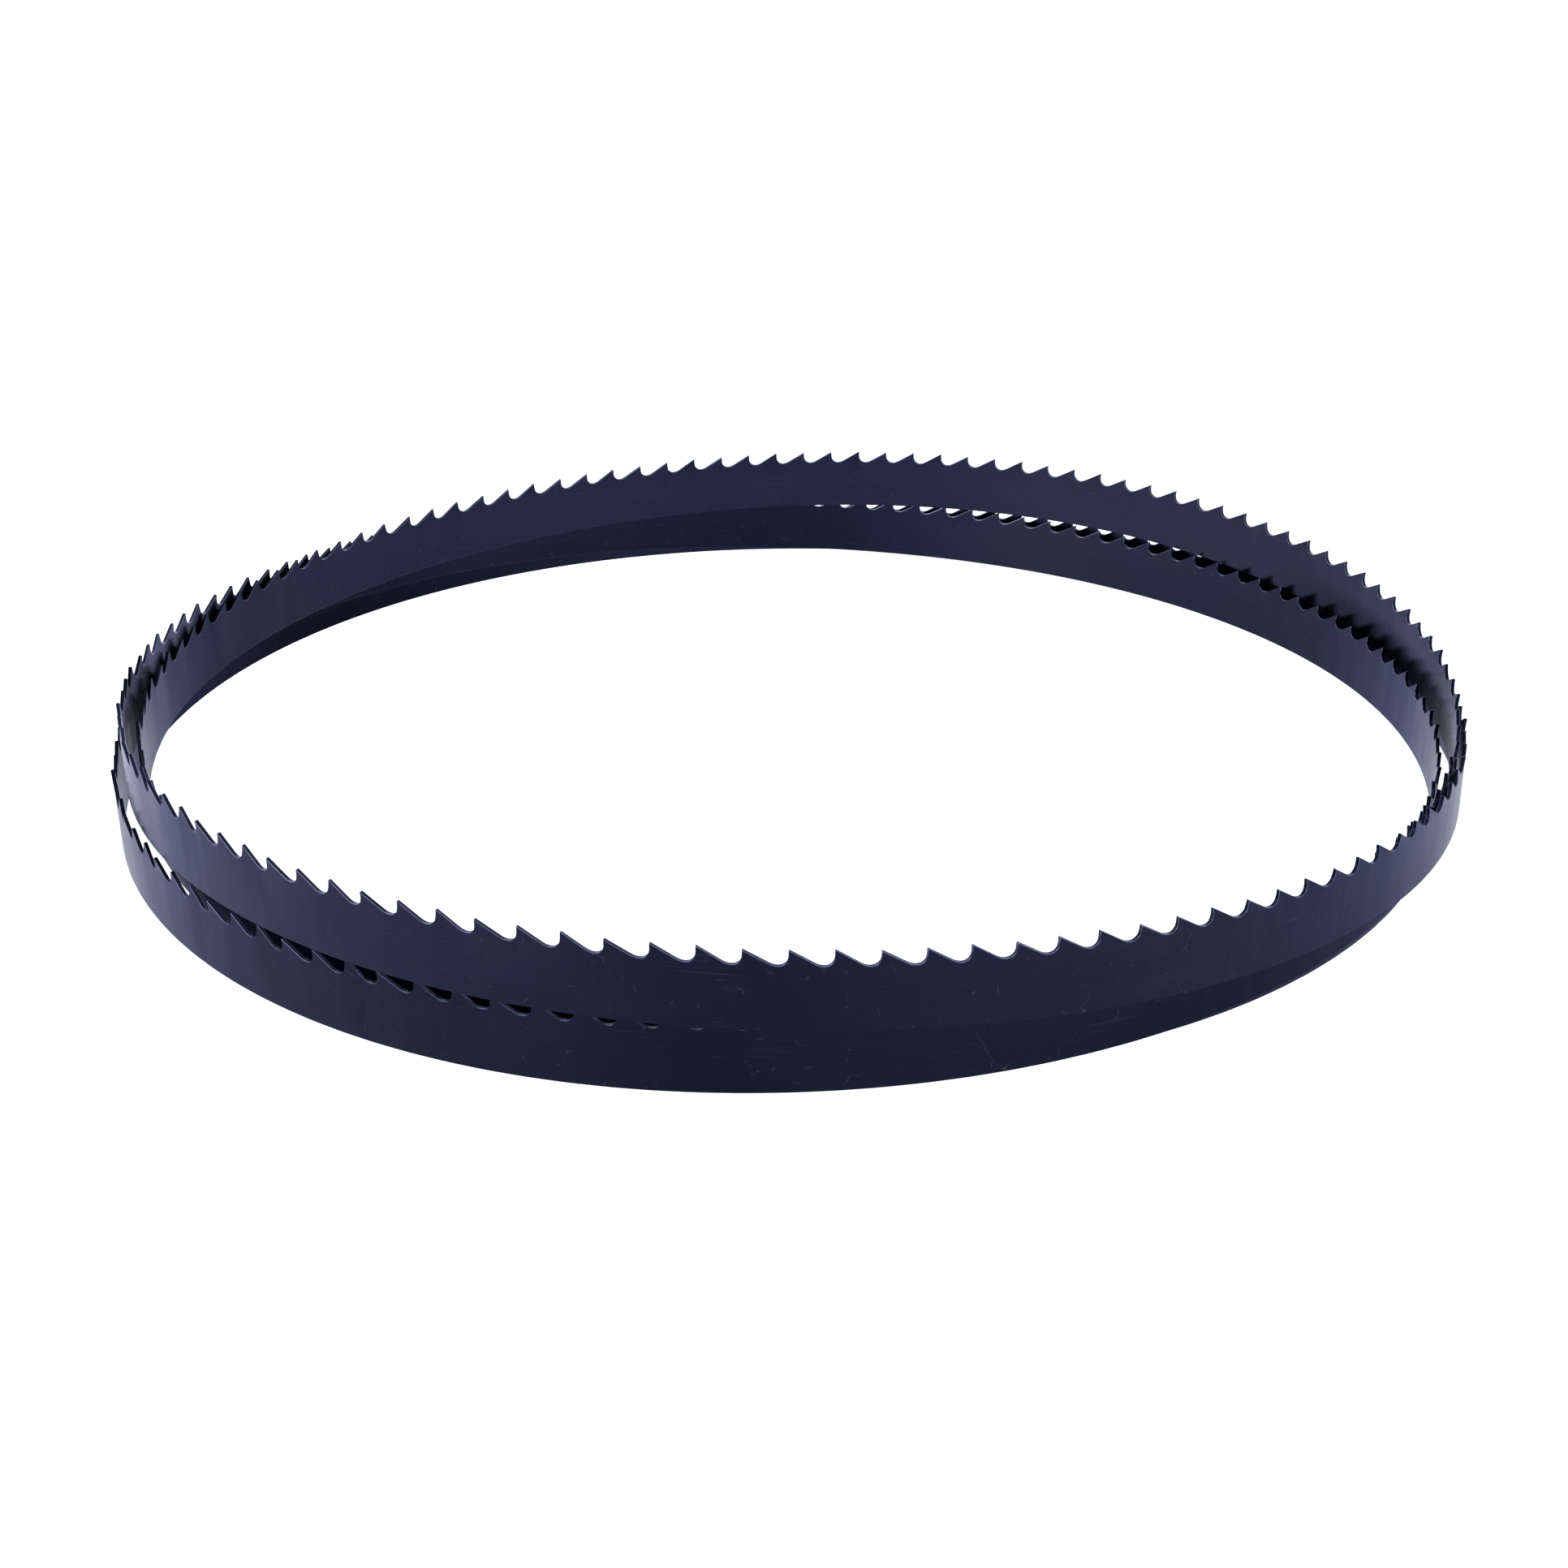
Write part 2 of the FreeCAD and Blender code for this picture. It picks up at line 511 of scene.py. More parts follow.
class Hairlines(Effect):
    """Fine scratches: short curled ticks, a few longer strokes, and long scuffs along the band."""

    name = "hairlines"
    outputs = ("Mask",)
    ticks: Stroke = Stroke(4.2, 0.9, 0.06, 1.6, 0.6, 11.0)
    hooks: Stroke = Stroke(11.0, 1.6, 0.055, 3.4, 0.5, 57.0)
    cuts: Stroke = Stroke(24.0, 6.0, 0.05, 3.0, 0.4, 131.0)

    def scatter(self, wiring: Wiring, band: Socket, stroke: Stroke) -> Socket:
        """Scatters strokes at all angles.

        Args:
            wiring: The group's wiring.
            band: The band's own coordinates.
            stroke: The kind of stroke.

        Returns:
            A mask of the strokes.
        """
        moved = wiring.stretch(band, (1, 1, 1), 0, (stroke.seed, stroke.seed * 1.7, 0))
        sway = wiring.add("ShaderNodeTexNoise")
        wiring.feed(sway.inputs["Vector"], moved)
        sway.inputs["Scale"].default_value = 0.7 / stroke.length
        sway.inputs["Detail"].default_value = 1.0
        centred = wiring.add("ShaderNodeVectorMath", operation="SUBTRACT")
        wiring.feed(centred.inputs[0], sway.outputs["Color"])
        centred.inputs[1].default_value = (0.5, 0.5, 0.5)
        wander = wiring.add("ShaderNodeVectorMath", operation="MULTIPLY_ADD")
        wiring.feed(wander.inputs[0], centred.outputs[0])
        wander.inputs[1].default_value = (stroke.curl, stroke.curl, 0)
        wiring.feed(wander.inputs[2], moved)
        cells, chance = wiring.cells(moved, stroke.spacing)
        near = wiring.add("ShaderNodeVectorMath", operation="SUBTRACT")
        wiring.feed(near.inputs[0], wander.outputs[0])
        wiring.feed(near.inputs[1], cells.outputs["Position"])
        turned = wiring.add("ShaderNodeVectorRotate", rotation_type="Z_AXIS")
        wiring.feed(turned.inputs["Vector"], near.outputs[0])
        wiring.feed(turned.inputs["Angle"], wiring.math("MULTIPLY", chance.outputs[0], 2 * pi))
        parts = wiring.add("ShaderNodeSeparateXYZ")
        wiring.feed(parts.inputs[0], turned.outputs[0])
        across = wiring.math("ABSOLUTE", parts.outputs[1])
        across = wiring.spread(across, stroke.width * 0.3, stroke.width, 1, 0)
        longest = wiring.math("ADD", chance.outputs[1], 0.25)
        reach = wiring.math("DIVIDE", wiring.math("ABSOLUTE", parts.outputs[0]), longest)
        along = wiring.spread(reach, stroke.length * 0.35, stroke.length, 1, 0)
        kept = wiring.math("LESS_THAN", chance.outputs[2], stroke.share)
        return wiring.math("MULTIPLY", wiring.math("MULTIPLY", across, along), kept)

    def draw(self, wiring: Wiring, band: Socket) -> tuple[Socket, ...]:
        """Draws the ticks, hooks, cuts and scuffs, the ticks and scuffs in patches."""
        many = wiring.noise(wiring.stretch(band, (0.05, 0.12, 1), 0, (7, 40, 0)), 1.0, 1.0)
        many = wiring.spread(many, 0.45, 0.6, 0.35, 1)
        ticks = wiring.math("MULTIPLY", self.scatter(wiring, band, self.ticks), many)
        hooks = wiring.math("MULTIPLY", self.scatter(wiring, band, self.hooks), 0.7)
        cuts = wiring.math("MULTIPLY", self.scatter(wiring, band, self.cuts), 0.5)
        drawn = wiring.noise(wiring.stretch(band, (0.035, 1.1, 1), 0.03, (5, 9, 0)), 1.0, 1.0, 0.4)
        fold = wiring.math("ABSOLUTE", wiring.math("SUBTRACT", drawn, 0.5))
        scuffs = wiring.spread(fold, 0.0, 0.012, 1, 0)
        patch = wiring.noise(wiring.stretch(band, (0.06, 0.2, 1), 0, (30, 0, 0)), 1.0, 2.0)
        scuffs = wiring.math("MULTIPLY", scuffs, wiring.spread(patch, 0.56, 0.66))
        total = wiring.math("MAXIMUM", ticks, hooks)
        total = wiring.math("MAXIMUM", total, cuts)
        return (wiring.math("MAXIMUM", total, wiring.math("MULTIPLY", scuffs, 0.25)),)


class Dust(Effect):
    """Tiny pale grains of dust, and tiny dark pits in the skin."""

    name = "dust"
    outputs = ("Mask", "Specks")

    def scatter(self, wiring: Wiring, band: Socket, spacing: float, size: float,
                share: float) -> Socket:
        """Scatters round dots of all sizes up to a limit.

        Args:
            wiring: The group's wiring.
            band: The band's own coordinates.
            spacing: Mean distance between the places of the dots, in millimetres.
            size: Radius of the largest dot, as a share of the spacing.
            share: Share of the places that have a dot.

        Returns:
            A mask of the dots.
        """
        cells, chance = wiring.cells(band, spacing)
        largest = wiring.math("MULTIPLY", chance.outputs[0], size)
        dot = wiring.math("LESS_THAN", cells.outputs["Distance"], largest)
        return wiring.math("MULTIPLY", dot, wiring.math("LESS_THAN", chance.outputs[1], share))

    def draw(self, wiring: Wiring, band: Socket) -> tuple[Socket, ...]:
        """Draws the grains and the pits."""
        grains = self.scatter(wiring, band, spacing=3.2, size=0.03, share=0.3)
        moved = wiring.stretch(band, (1, 1, 1), 0, (17, 3, 0))
        return grains, self.scatter(wiring, moved, spacing=2.1, size=0.06, share=0.2)


class Streaks(Effect):
    """Streaks across the band that make its painted sheen uneven, round zero."""

    name = "streaks"
    outputs = ("Streaks",)
    fine_share: float = 0.4

    def draw(self, wiring: Wiring, band: Socket) -> tuple[Socket, ...]:
        """Draws broad streaks with finer ones in them."""
        broad = wiring.noise(wiring.stretch(band, (0.3, 0.05, 1), 0.12), 1.0, 1.0, 0.4)
        fine = wiring.noise(wiring.stretch(band, (2.2, 0.12, 1), -0.1), 1.0, 2.0, 0.6)
        broad = wiring.around_zero(broad)
        fine = wiring.around_zero(fine)
        return (wiring.math("MULTIPLY_ADD", fine, self.fine_share, broad),)


class CutterMarks(Effect):
    """Fine marks that the cutter leaves across the edge, round zero."""

    name = "cutter_marks"
    outputs = ("Marks",)

    def draw(self, wiring: Wiring, band: Socket) -> tuple[Socket, ...]:
        """Draws the marks."""
        return (wiring.around_zero(wiring.noise(wiring.stretch(band, (7.0, 7.0, 1)), 1.0, 2.0, 0.7)),)


@dataclass(frozen=True)
class Stretch:
    """A stretch of the band that is painted lighter or darker, in millimetres along the band.

    Tone is how much lighter it is painted in the middle, as a share, and warmth how much redder than
    blue.
    For a stretch of painted shade between two turns, tone is how much darker.
    """

    middle: float
    reach: float
    tone: float
    warmth: float = 0.0

    def swell(self, along: float, length: float) -> float:
        """Works out how far into the stretch a place is.

        Args:
            along: The place, in millimetres along the band.
            length: Length of the closed band.

        Returns:
            1 in the middle of the stretch, and 0 beyond its ends.
        """
        away = abs((along - self.middle + length / 2) % length - length / 2)
        share = max(0.0, 1 - away / self.reach)
        return share * share * (3 - 2 * share)


@dataclass(frozen=True)
class PaintedLightAlongBand:
    """Painted light and shade along the band: lighter and darker stretches with their tints, and
    painted shade low between two turns.
    """

    layer: str = "oxide"
    length: float = 2241.55
    warmth_range: float = 0.6
    # Painted light and shade: stretches made lighter or darker to stand in for how light falls on the
    # coil, each with a tint
    light_and_shade_stretches: tuple[Stretch, ...] = (
        Stretch(12, 62, -0.41, -0.12), Stretch(132, 45, 0.13, 0.12), Stretch(240, 32, 0.11, 0.11),
        Stretch(264, 85, 0.34, 0.17), Stretch(372, 22, -0.43, -0.3), Stretch(444, 85, -0.55, -0.3),
        Stretch(492, 32, -0.12, -0.1), Stretch(552, 85, -0.12, -0.11), Stretch(564, 22, -0.19, 0.11),
        Stretch(648, 62, -0.09, -0.12), Stretch(732, 62, -0.68, -0.3), Stretch(1212, 62, -0.21, -0.3),
        Stretch(1320, 32, -0.19, -0.05), Stretch(1380, 45, 0.21, -0.03),
        Stretch(1440, 22, -0.11, -0.18),
        Stretch(1452, 14, 0.17, -0.1), Stretch(1464, 14, 0.33, -0.13), Stretch(1476, 14, -0.24, -0.16),
        Stretch(1488, 22, -0.8, -0.1), Stretch(1512, 22, 0.47, -0.07), Stretch(1584, 32, -0.45, -0.09),
        Stretch(1644, 85, -0.22, -0.01), Stretch(1668, 22, -0.13, -0.11),
        Stretch(1692, 32, -0.23, -0.03),
        Stretch(1752, 45, 0.32, 0.25), Stretch(1824, 32, -0.1, 0.04), Stretch(1872, 85, -0.24, -0.16),
        Stretch(1896, 18, -0.42, -0.14), Stretch(2217, 26, -0.25, -0.1),
    )
    # Painted shade low on the band where two turns stand close together
    painted_shade_between_turns: tuple[Stretch, ...] = (Stretch(352, 60, 0.76), Stretch(812, 94, 0.72))

    def skin(self, along: float) -> Point:
        """Works out the painted light and shade at a place.

        Args:
            along: The place, in millimetres along the band.

        Returns:
            The painted tone, where 1 is plain, the warmth, where 0.5 is plain, and how much painted
            shade lies between the turns.
        """
        tone, warmth, painted_shade = 1.0, 0.0, 0.0
        for stretch in self.light_and_shade_stretches:
            share = stretch.swell(along, self.length)
            tone += share * stretch.tone
            warmth += share * stretch.warmth
        for stretch in self.painted_shade_between_turns:
            painted_shade += stretch.swell(along, self.length) * stretch.tone
        return tone, 0.5 + warmth / self.warmth_range, painted_shade

    def paint(self, piece: bpy.types.Object) -> None:
        """Writes the painted light and shade to every corner of the mesh.

        Args:
            piece: The band, with its UV map in millimetres.
        """
        layer = piece.data.attributes.new(self.layer, "FLOAT_COLOR", "CORNER")
        known: dict[float, Point] = {}
        for index, place in enumerate(piece.data.uv_layers["band"].data):
            along = round(place.uv.x, 1)
            if along not in known:
                known[along] = self.skin(along)
            layer.data[index].color = (*known[along], 1)


@dataclass(frozen=True)
class Finish:
    """One steel finish of the band. The coordinates are a UV map in millimetres."""

    name: str
    colour: Colour
    tint: Colour
    roughness: float
    # Painted sheen added to the base colour towards an edge-on view
    painted_sheen_colour: Colour = (0.82, 0.84, 1.0, 1.0)
    painted_soft_sheen: float = 0.04
    painted_hard_sheen: float = 0.245
    pits: float = 0.16
    lines: float = 0.05
    clouds: float = 0.07
    hairlines: float = 1.0
    dust: float = 0.5
    streaks: float = 0.13
    cutter: float = 0.0
    scratch_colour: Colour = (0.045, 0.05, 0.075, 1.0)
    dust_colour: Colour = (0.09, 0.095, 0.115, 1.0)
    speck_colour: Colour = (0.004, 0.004, 0.008, 1.0)
    # Tints for the painted light and shade along the band
    cold: Colour = (0.85, 1.0, 1.15, 1.0)
    warm: Colour = (1.15, 1.0, 0.85, 1.0)
    edge_tint: Colour = (0.53, 0.55, 0.68, 1.0)
    # Painted shade between the turns is full up to the first height and gone at the second, in
    # millimetres above the back edge
    shade_top: float = 3.5
    shade_end: float = 7.5
    darkest: float = 0.12
    bump: float = 0.25
    bump_depth: float = 0.01

    def skin(self, wiring: Wiring, band: Socket) -> tuple[Socket, Socket]:
        """Reads the painted light and shade that is written on the mesh.

        Args:
            wiring: The material's wiring.
            band: The band's own coordinates.

        Returns:
            The painted tone, with the painted shade between the turns taken off it near the back edge,
            and the hue.
        """
        painted = wiring.add("ShaderNodeAttribute", attribute_name=PaintedLightAlongBand.layer)
        skin = wiring.add("ShaderNodeSeparateColor")
        wiring.feed(skin.inputs[0], painted.outputs["Color"])
        tone, warmth, painted_shade = skin.outputs
        height = wiring.add("ShaderNodeSeparateXYZ")
        wiring.feed(height.inputs[0], band)
        low = wiring.spread(height.outputs[1], self.shade_top, self.shade_end, 1, 0)
        # Painted shade between two turns takes tone off low on the band
        tone = wiring.math("SUBTRACT", tone, wiring.math("MULTIPLY", painted_shade, low))
        hue = wiring.blend(warmth, self.cold, self.warm)
        return wiring.math("MAXIMUM", tone, self.darkest), hue

    def material(self) -> bpy.types.Material:
        """Builds the material.

        Returns:
            A material whose colour, roughness and bump all follow the band.
        """
        material = bpy.data.materials.new(self.name)
        material.use_nodes = True
        wiring = Wiring(material.node_tree)
        output = wiring.add("ShaderNodeOutputMaterial")
        steel = wiring.add("ShaderNodeBsdfPrincipled")
        wiring.feed(output.inputs["Surface"], steel.outputs[0])
        band = wiring.add("ShaderNodeUVMap", uv_map="band").outputs[0]
        pits, lines, clouds = Grain().place(wiring, band, 1.0)
        scratches = Hairlines().place(wiring, band, self.hairlines)[0]
        dust, specks = Dust().place(wiring, band, self.dust)
        streaks = Streaks().place(wiring, band, self.streaks)[0]
        marks = CutterMarks().place(wiring, band, self.cutter)[0]

        # Painted light and shade along the band, read from the mesh, with its tint
        tone, hue = self.skin(wiring, band)
        colour = wiring.blend(wiring.spread(clouds, 0.1, 0.9), self.colour, self.tint)
        colour = wiring.blend(1.0, colour, hue, "MULTIPLY")
        value = wiring.math("MULTIPLY_ADD", pits, self.pits, 1.0)
        value = wiring.math("MULTIPLY_ADD", lines, self.lines, value)
        value = wiring.math("MULTIPLY_ADD", clouds, self.clouds, value)
        value = wiring.math("ADD", value, marks)
        value = wiring.math("MULTIPLY", value, tone)
        lit = wiring.add("ShaderNodeHueSaturation")
        wiring.feed(lit.inputs["Color"], colour)
        wiring.feed(lit.inputs["Value"], value)
        colour = wiring.blend(scratches, lit.outputs[0], self.scratch_colour)
        colour = wiring.blend(dust, colour, self.dust_colour)
        colour = wiring.blend(specks, colour, self.speck_colour)
        # Painted sheen: the base colour grows lighter and bluer as the surface turns edge-on to the
        # view, and follows the painted tone
        turned = wiring.add("ShaderNodeLayerWeight").outputs["Facing"]
        soft = wiring.math("MULTIPLY", wiring.math("POWER", turned, 2.0), self.painted_soft_sheen)
        glow = wiring.math("MULTIPLY_ADD", wiring.math("POWER", turned, 4.0), self.painted_hard_sheen, soft)
        uneven = wiring.math("MULTIPLY_ADD", pits, 0.12, wiring.math("ADD", streaks, 1.0))
        glow = wiring.math("MULTIPLY", glow, uneven)
        glow = wiring.math("MULTIPLY", glow, wiring.math("SUBTRACT", 1.0, specks))
        glow = wiring.math("MULTIPLY", glow, tone)
        wiring.feed(steel.inputs["Base Color"], wiring.blend(glow, colour, self.painted_sheen_colour, "ADD"))

        rough = wiring.math("MULTIPLY_ADD", pits, 0.05, self.roughness)
        rough = wiring.math("MULTIPLY_ADD", lines, 0.02, rough)
        rough = wiring.math("MULTIPLY_ADD", clouds, 0.03, rough)
        wiring.feed(steel.inputs["Roughness"], wiring.math("MULTIPLY_ADD", scratches, 0.1, rough))
        steel.inputs["Metallic"].default_value = 1.0
        steel.inputs["Specular Tint"].default_value = self.edge_tint

        relief = wiring.math("MULTIPLY_ADD", lines, 0.35, pits)
        relief = wiring.math("ADD", relief, wiring.math("MULTIPLY", marks, 3.0))
        relief = wiring.math("SUBTRACT", relief, scratches)
        bump = wiring.add("ShaderNodeBump")
        bump.inputs["Strength"].default_value = self.bump
        bump.inputs["Distance"].default_value = self.bump_depth * MM
        wiring.feed(bump.inputs["Height"], relief)
        wiring.feed(steel.inputs["Normal"], bump.outputs[0])
        return material


@dataclass
class SawBand:
    """The endless toothed band, laid in its coil."""

    tooth: Tooth = field(default_factory=Tooth)
    lay: Lay = field(default_factory=Lay)
    thickness: float = 0.65
    edge_round: float = 0.06
    order: tuple[Lean, ...] = (Lean.OUTWARDS, Lean.INWARDS, Lean.STRAIGHT)
    shoulder: float = 0.35
    stub: float = 0.1
    parked: float = 100.0
    weld: float = 0.05
    edge_angle: float = 50.0
    smooth_angle: float = 32.0
    outside_finish: Finish = Finish(
        "blued_face", (0.0103, 0.0128, 0.0307, 1), (0.0117, 0.0128, 0.03, 1), 0.28,
    )
    # Painted light: the outer finish made about a third lighter for the inner faces
    inside_painted_lighter_finish: Finish = Finish(
        "blued_inside_painted_lighter", (0.0135, 0.0166, 0.0398, 1), (0.0152, 0.0166, 0.0391, 1), 0.28,
    )
    cut_finish: Finish = Finish(
        "cut_edge", (0.011, 0.013, 0.027, 1), (0.014, 0.014, 0.027, 1), 0.32,
        hairlines=0.0, dust=0.0, streaks=0.0, cutter=0.25,
    )
    # Rims along teeth and gullets: worn steel, made much lighter than the faces as a painted edge
    # highlight
    rim_wear_and_highlight_finish: Finish = Finish(
        "worn_rim_and_painted_highlight", (0.15, 0.16, 0.28, 1), (0.085, 0.09, 0.175, 1), 0.3,
        pits=0.4, clouds=0.3, hairlines=0.0, dust=0.0, streaks=0.0,
    )

    def tooth_sheet(self) -> bpy.types.Object:
        """Models one pitch of the band as a flat upright sheet.

        Returns:
            The sheet, unset, from x = 0 to one pitch.
        """
        tooth = self.tooth
        columns = tooth.columns()
        spans = len(columns) - 1
        plain = tooth.gullet - self.shoulder
        bpy.ops.object.select_all(action="DESELECT")
        bpy.ops.mesh.primitive_grid_add(
            x_subdivisions=spans, y_subdivisions=1, size=1, rotation=(pi / 2, 0, 0),
        )
        sheet = bpy.context.view_layer.objects.active
        sheet.name = "tooth"
        sheet.scale = (spans * MM, plain * MM, MM)
        sheet.location = (spans / 2 * MM, 0, plain / 2 * MM)
        bpy.ops.object.transform_apply(location=True, rotation=True, scale=True)
        bpy.ops.object.mode_set(mode="EDIT")
        Bench.mark(sheet, lambda point: point.z > plain / 2, "EDGE")
        Bench.raise_edges(self.shoulder)
        level = tooth.gullet - NEAR
        for index in reversed(range(spans + 1)):
            along, height = columns[index]
            place = along + self.parked
            Bench.pull(sheet, lambda point, at=index: abs(point.x - at) < NEAR, (place - index, 0, 0))
            Bench.pull(
                sheet,
                lambda point, at=place: abs(point.x - at) < NEAR and point.z > level,
                (0, 0, height),
            )
        Bench.pull(sheet, lambda point: True, (-self.parked, 0, 0))
        heel_end, foot = columns[tooth.heel_steps], columns[tooth.heel_steps + 1]
        top = [(along, tooth.gullet + height) for along, height in (heel_end, foot)]
        Bench.mark(
            sheet, lambda point: any(hypot(point.x - x, point.z - z) < NEAR for x, z in top), "EDGE",
        )
        Bench.raise_edges(self.stub)
        lifts = (-self.stub, tooth.depth - foot[1] - self.stub)
        for (along, height), lift in reversed(list(zip(top, lifts))):
            above = height + self.stub / 2
            Bench.pull(
                sheet,
                lambda point, at=along, over=above: abs(point.x - at) < NEAR and point.z > over,
                (0, 0, lift),
            )
        bpy.ops.mesh.select_all(action="SELECT")
        bpy.ops.mesh.remove_doubles(threshold=0.001 * MM)
        bpy.ops.object.mode_set(mode="OBJECT")
        return sheet

    def set_tooth(self, sheet: bpy.types.Object, lean: Lean) -> None:
        """Bends a tooth out of the band over its gullet line.

        Args:
            sheet: The sheet of one pitch.
            lean: Which way the tooth goes.
        """
        Bench.pick(sheet)
        bpy.ops.object.mode_set(mode="EDIT")
        gullet = self.tooth.gullet
        heights = sorted({round(vertex.co.z / MM - gullet, 4) for vertex in sheet.data.vertices})
        for height in heights:
            if height > NEAR:
                aside = lean.value * self.tooth.set * height / self.tooth.depth
                level = gullet + height
                Bench.pull(sheet, lambda point, at=level: abs(point.z - at) < NEAR / 10, (0, aside, 0))
        bpy.ops.object.mode_set(mode="OBJECT")

    def strip(self) -> bpy.types.Object:
        """Repeats the teeth along the whole length of the loop.

        Returns:
            One flat sheet with every tooth, and a UV map that follows the band.
        """
        first = self.tooth_sheet()
        sheets = [first]
        for index in range(1, len(self.order)):
            sheets.append(Bench.copy(first, (self.tooth.pitch * index, 0, 0)))
        for sheet, lean in zip(sheets, self.order):
            self.set_tooth(sheet, lean)
        Bench.pick(first)
        for sheet in sheets:
            sheet.select_set(True)
        bpy.ops.object.join()
        strip = bpy.context.view_layer.objects.active
        groups = -(-self.lay.teeth // len(self.order))
        Bench.apply(
            strip, "ARRAY", count=groups, use_relative_offset=False, use_constant_offset=True,
            constant_offset_displace=(self.tooth.pitch * len(self.order) * MM, 0, 0),
        )
        length = self.lay.teeth * self.tooth.pitch
        bpy.ops.object.mode_set(mode="EDIT")
        Bench.mark(strip, lambda point: point.x > length + NEAR)
        bpy.ops.mesh.delete(type="VERT")
        bpy.ops.mesh.select_all(action="SELECT")
        bpy.ops.mesh.remove_doubles(threshold=0.002 * MM)
        bpy.ops.object.mode_set(mode="OBJECT")
        for old in list(strip.data.uv_layers):
            strip.data.uv_layers.remove(old)
        layer = strip.data.uv_layers.new(name="band")
        for loop in strip.data.loops:
            place = strip.data.vertices[loop.vertex_index].co / MM
            layer.data[loop.index].uv = (place.x, place.z)
        return strip

    def plumb(self, strip: bpy.types.Object, climbs: list[float]) -> None:
        """Moves the teeth along, so that each stands straight above its own spot of the back edge.

        Args:
            strip: The flat strip.
            climbs: How steeply the band climbs below each gullet.
        """
        for vertex in strip.data.vertices:
            place = vertex.co / MM
            tooth, share = divmod(min(place.x / self.tooth.pitch, self.lay.teeth), 1)
            climb = climbs[int(tooth)]
            if share > 0:
                climb += (climbs[int(tooth) + 1] - climb) * share
            vertex.co.x += climb * min(place.z, self.tooth.gullet) * MM

    def path(self, points: list[Vector]) -> bpy.types.Object:
        """Makes the closed line of the back edge.

        Args:
            points: The points of the back edge.

        Returns:
            A curve that keeps the band upright.
        """
        curve = bpy.data.curves.new("lay", "CURVE")
        curve.dimensions = "3D"
        curve.twist_mode = "Z_UP"
        spline = curve.splines.new("POLY")
        spline.points.add(len(points) - 1)
        for spot, point in zip(spline.points, points):
            spot.co = (*point, 1)
        spline.use_cyclic_u = True
        path = bpy.data.objects.new("lay", curve)
        bpy.context.scene.collection.objects.link(path)
        return path

    def build(self) -> bpy.types.Object:
        """Models the band.

        Returns:
            The finished piece, in the CAD node's place.
        """
        line = self.lay.line(self.tooth)
        strip = self.strip()
        self.plumb(strip, self.lay.climbs(line))
        for _ in Side:
            strip.data.materials.append(None)
        path = self.path(line)
        Bench.apply(strip, "CURVE", object=path, deform_axis="POS_X")
        bpy.data.objects.remove(path, do_unlink=True)
        bpy.ops.object.mode_set(mode="EDIT")
        bpy.ops.mesh.select_all(action="SELECT")
        bpy.ops.mesh.remove_doubles(threshold=self.weld * MM)
        bpy.ops.mesh.normals_make_consistent(inside=False)
        bpy.ops.object.mode_set(mode="OBJECT")
        Bench.apply(
            strip, "SOLIDIFY", thickness=self.thickness * MM, offset=0.0, use_even_offset=True,
            material_offset_rim=Side.CUT.value,
        )
        Bench.apply(
            strip, "BEVEL", width=self.edge_round * MM, segments=1, limit_method="ANGLE",
            angle_limit=radians(self.edge_angle), use_clamp_overlap=True, material=Side.RIM.value,
        )
        self.share_out(strip)
        strip.name = "toothed_band"
        Bench.pick(strip)
        bpy.ops.object.shade_smooth_by_angle(angle=radians(self.smooth_angle))
        return strip

    def share_out(self, strip: bpy.types.Object) -> None:
        """Gives the back edge's rim the finish of the faces, and the inner faces a lighter copy of the
        outer finish, as painted light.

        Args:
            strip: The band, with its thickness and its bevel.
        """
        heights = strip.data.uv_layers["band"].data
        for face in strip.data.polygons:
            low = heights[face.loop_start].uv.y < self.tooth.gullet / 2
            if face.material_index == Side.RIM.value and low:
                face.material_index = Side.OUTSIDE.value
            inwards = face.normal.xy.dot(face.center.xy) < 0
            if face.material_index == Side.OUTSIDE.value and inwards:
                face.material_index = Side.INSIDE.value

    def dress(self, band: bpy.types.Object) -> None:
        """Gives the band its finishes and its place in the frame.

        Args:
            band: The finished piece.
        """
        finishes = {
            Side.OUTSIDE: self.outside_finish,
            Side.CUT: self.cut_finish,
            Side.RIM: self.rim_wear_and_highlight_finish,
            Side.INSIDE: self.inside_painted_lighter_finish,
        }
        for side, finish in finishes.items():
            band.data.materials[side.value] = finish.material()
        # Writes the painted light and shade along the band onto the mesh
        PaintedLightAlongBand().paint(band)
        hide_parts("saw_band")
        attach(band, "root")
        LOG.info("toothed band: %d teeth, %d faces", self.lay.teeth, len(band.data.polygons))


